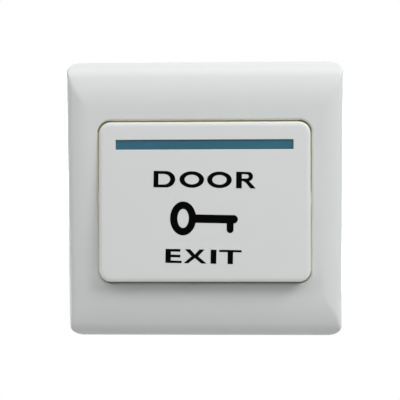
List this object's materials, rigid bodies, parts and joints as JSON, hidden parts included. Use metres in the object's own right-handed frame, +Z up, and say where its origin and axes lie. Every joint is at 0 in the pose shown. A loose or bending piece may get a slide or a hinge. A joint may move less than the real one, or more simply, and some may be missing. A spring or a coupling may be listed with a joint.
{
  "type": "door exit button",
  "caption": "Square wall-mounted door exit button with a wide hinged push plate, a spring-returned plunger and a screw-terminal contact housing behind the plate.",
  "frame": {"origin": "middle of the square plate on the wall plane, midway between the two wall screw slots", "axes": "+Y into the wall, -Y out of the wall towards the person, +Z up, +X to the right seen from the front"},
  "size_m": [0.086, 0.0267, 0.086],
  "materials": {
    "frame_white": "polished white moulding",
    "push_white": "polished white moulding",
    "inner_white": "plain white moulding",
    "indicator": "smooth teal insert",
    "dark_plastic": "fine satin moulding",
    "spring_steel": "drawn wire",
    "brass": "stamped",
    "steel": "zinc plated",
    "silver_contact": "silver contact",
    "terminal_screw": "nickel plated"
  },
  "bodies": {
    "case": {"front_frame": "frame_white", "base_plate": "inner_white", "rear_housing": "dark_plastic", "housing_screws": "steel", "return_spring": "spring_steel", "fixed_contact_com": "silver_contact", "fixed_contact_no": "silver_contact", "terminal_strip_com": "brass", "terminal_strip_no": "brass", "terminal_nut_com": "steel", "terminal_nut_no": "steel", "clamp_washer_com": "steel", "clamp_washer_no": "steel", "terminal_screw_com": "terminal_screw", "terminal_screw_no": "terminal_screw"},
    "push_plate": {"push_plate": "push_white", "indicator_strip": "indicator"},
    "plunger": {"plunger": "dark_plastic", "contact_bridge": "brass", "bridge_retainer": "steel", "bridge_contact_left": "silver_contact", "bridge_contact_right": "silver_contact"}
  },
  "joints": [
    {"name": "push_hinge", "type": "hinge", "parent": "case", "child": "push_plate", "pos_m": [0, -0.0055, 0.019], "axis": [1, 0, 0], "range_deg": [0, 4.5], "stiffness_Nm_per_rad": 0.8, "springref_deg": -3.44},
    {"name": "plunger_slide", "type": "slide", "parent": "case", "child": "plunger", "axis": [0, 1, 0], "range_m": [0, 0.00186], "deforming": ["return_spring"]}
  ],
  "couplings": [
    {"joint": "plunger_slide", "follows": "push_hinge", "m_per_rad": 0.0235}
  ]
}
